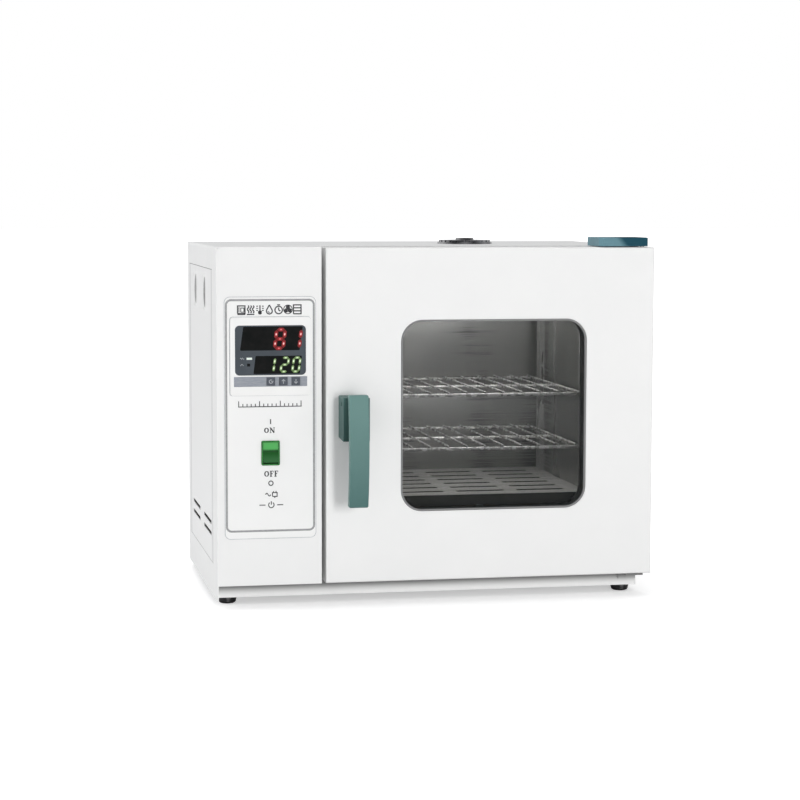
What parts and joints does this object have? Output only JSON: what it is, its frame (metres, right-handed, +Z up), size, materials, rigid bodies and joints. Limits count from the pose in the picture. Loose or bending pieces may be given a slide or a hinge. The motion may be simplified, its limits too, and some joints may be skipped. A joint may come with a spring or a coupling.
{
  "type": "laboratory drying oven",
  "caption": "Bench drying oven with a side control section, windowed hinged door, latch handle, wire shelves, slotted baffle, top vent and rubber feet.",
  "frame": {"origin": "on the bench, under the middle of the oven's overall width and depth, handle included", "axes": "+X to the viewer's right, -Y out of the door, +Z up"},
  "size_m": [0.5124, 0.38, 0.42],
  "materials": {
    "white_paint": "satin",
    "white_plastic": "satin",
    "stainless": "satin",
    "bright_wire": "polished",
    "galvanised": "satin",
    "steel_fixings": "satin",
    "heater_sheath": "matte",
    "ceramic": "matte",
    "glass_wool": "matte",
    "chrome": "polished",
    "teal_plastic": "satin",
    "blue_plastic": "satin",
    "brass": "satin",
    "clear_glass": "gloss",
    "dark_rubber": "matte",
    "black_rubber": "satin",
    "red_silicone": "matte",
    "slate_window": "gloss",
    "lilac_strip": "satin",
    "key_rubber": "satin",
    "circuit_board": "satin",
    "green_switch": "gloss",
    "dark_green": "gloss",
    "black_plastic": "satin",
    "aluminium": "satin",
    "lead_sleeve": "matte"
  },
  "bodies": {
    "cabinet": {"cabinet_wrap": "white_paint", "access_panel": "white_paint", "rear_panel": "white_paint", "casing_screws": "steel_fixings", "base_pan": "galvanised", "front_frame": "white_paint", "compartment_divider": "galvanised", "control_fascia": "white_paint", "chamber_sleeve": "stainless", "chamber_back": "stainless", "heat_baffle": "stainless", "heater_tubes": "heater_sheath", "heater_clips": "steel_fixings", "heater_bushings": "ceramic", "sensor_probe": "stainless", "insulation_batts": "glass_wool", "vent_duct": "galvanised", "vent_collar": "chrome", "vent_nut": "chrome", "hinge_top_bracket": "galvanised", "hinge_bottom_bracket": "white_paint", "hinge_pins": "steel_fixings", "hinge_top_cap": "blue_plastic", "latch_strike": "galvanised", "control_label": "white_plastic", "controller_case": "white_plastic", "controller_window": "slate_window", "controller_key_strip": "lilac_strip", "controller_board": "circuit_board", "switch_body": "dark_green", "rubber_feet": "black_rubber", "feet_screws": "steel_fixings", "mains_gland": "black_plastic", "relay_heat_sink": "aluminium", "relay_module": "black_plastic", "terminal_block": "ceramic", "internal_wiring": "lead_sleeve", "rack_left": "stainless", "rack_right": "stainless"},
    "door": {"door_outer_skin": "white_paint", "door_liner": "stainless", "door_insulation": "glass_wool", "window_seal": "dark_rubber", "window_outer_glass": "clear_glass", "window_inner_glass": "clear_glass", "window_spacer": "stainless", "door_gasket": "red_silicone", "door_hinge_bushes": "brass", "handle_block": "teal_plastic", "handle_pin": "steel_fixings", "handle_screws": "steel_fixings"},
    "handle": {"handle_lever": "teal_plastic", "latch_hook": "galvanised"},
    "vent": {"vent_shutter": "chrome"},
    "rocker": {"power_rocker": "green_switch"},
    "left_key": {"key_left": "key_rubber"},
    "middle_key": {"key_middle": "key_rubber"},
    "right_key": {"key_right": "key_rubber"},
    "upper_shelf": {"shelf_upper": "bright_wire"},
    "lower_shelf": {"shelf_lower": "bright_wire"}
  },
  "joints": [
    {"name": "door_hinge", "type": "hinge", "parent": "cabinet", "child": "door", "pos_m": [0.241, -0.13, 0.21], "axis": [0, 0, 1], "range_deg": [0, 120]},
    {"name": "handle_pivot", "type": "hinge", "parent": "door", "child": "handle", "pos_m": [-0.1015, -0.156, 0.234], "axis": [-1, 0, 0], "range_deg": [0, 10], "stiffness_Nm_per_rad": 0.6},
    {"name": "vent_turn", "type": "hinge", "parent": "cabinet", "child": "vent", "pos_m": [0.065, 0.024, 0.4135], "axis": [0, 0, 1], "range_deg": [0, 30]},
    {"name": "rocker_tip", "type": "hinge", "parent": "cabinet", "child": "rocker", "pos_m": [-0.1945, -0.1325, 0.178], "axis": [1, 0, 0], "range_deg": [0, 16]},
    {"name": "left_key_press", "type": "slide", "parent": "cabinet", "child": "left_key", "axis": [0, 1, 0], "range_m": [0, 0.001], "stiffness_N_per_m": 400},
    {"name": "middle_key_press", "type": "slide", "parent": "cabinet", "child": "middle_key", "axis": [0, 1, 0], "range_m": [0, 0.001], "stiffness_N_per_m": 400},
    {"name": "right_key_press", "type": "slide", "parent": "cabinet", "child": "right_key", "axis": [0, 1, 0], "range_m": [0, 0.001], "stiffness_N_per_m": 400},
    {"name": "upper_shelf_slide", "type": "slide", "parent": "cabinet", "child": "upper_shelf", "axis": [0, -1, 0], "range_m": [0, 0.008]},
    {"name": "lower_shelf_slide", "type": "slide", "parent": "cabinet", "child": "lower_shelf", "axis": [0, -1, 0], "range_m": [0, 0.008]}
  ]
}
